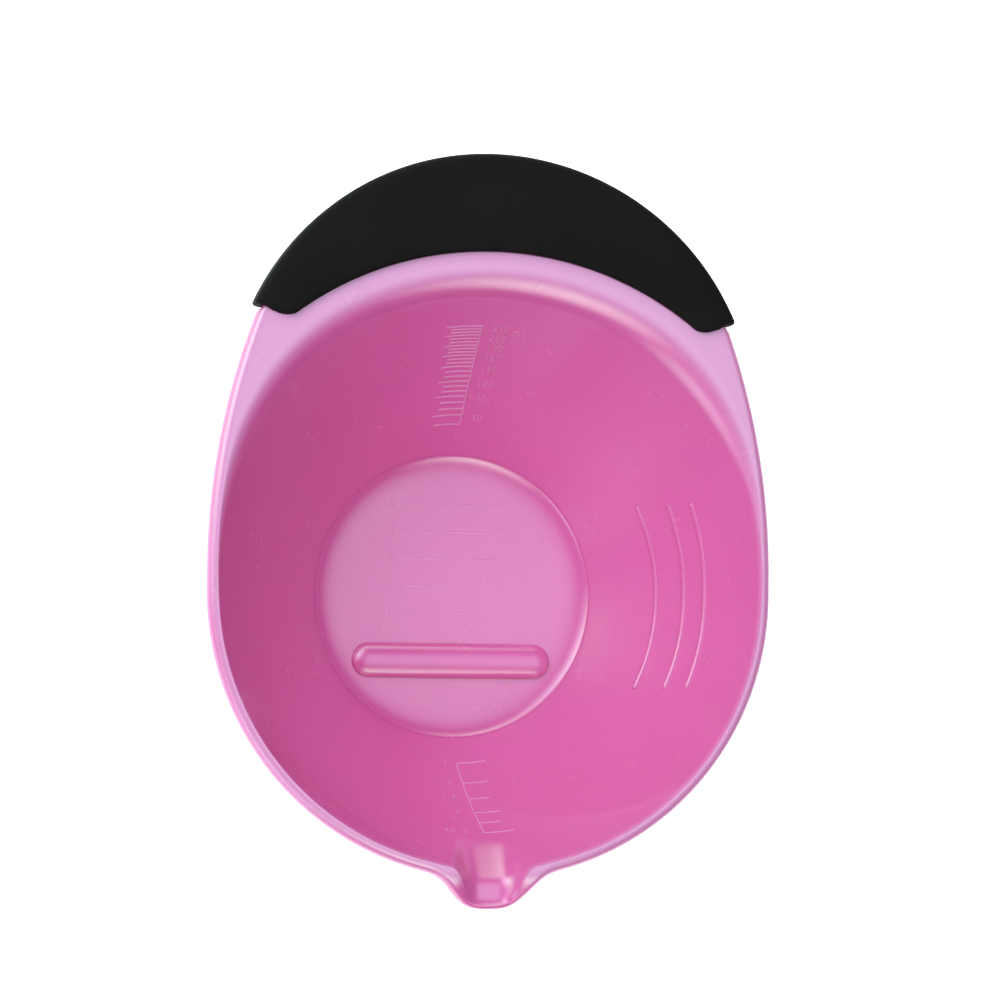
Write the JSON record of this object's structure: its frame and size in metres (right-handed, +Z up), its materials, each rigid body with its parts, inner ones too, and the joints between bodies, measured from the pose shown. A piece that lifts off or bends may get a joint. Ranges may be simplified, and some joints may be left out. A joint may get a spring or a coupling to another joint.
{
  "type": "hair color mixing bowl",
  "caption": "Shallow mixing bowl with a pouring spout, a crescent handle under a soft grip, and a non-slip foot ring.",
  "frame": {"origin": "middle of the bounding box's underside, on the surface that the foot ring stands on", "axes": "+Z up, +Y towards the handle, -Y towards the spout, +X to the right with the handle away from the viewer"},
  "size_m": [0.1302, 0.1696, 0.0478],
  "materials": {
    "pink_plastic": "glossy moulded polypropylene",
    "grip_rubber": "satin soft-touch rubber",
    "ring_rubber": "matt rubber"
  },
  "bodies": {
    "root": {"bowl": "pink_plastic", "grip": "grip_rubber", "foot_ring": "ring_rubber"}
  },
  "joints": []
}
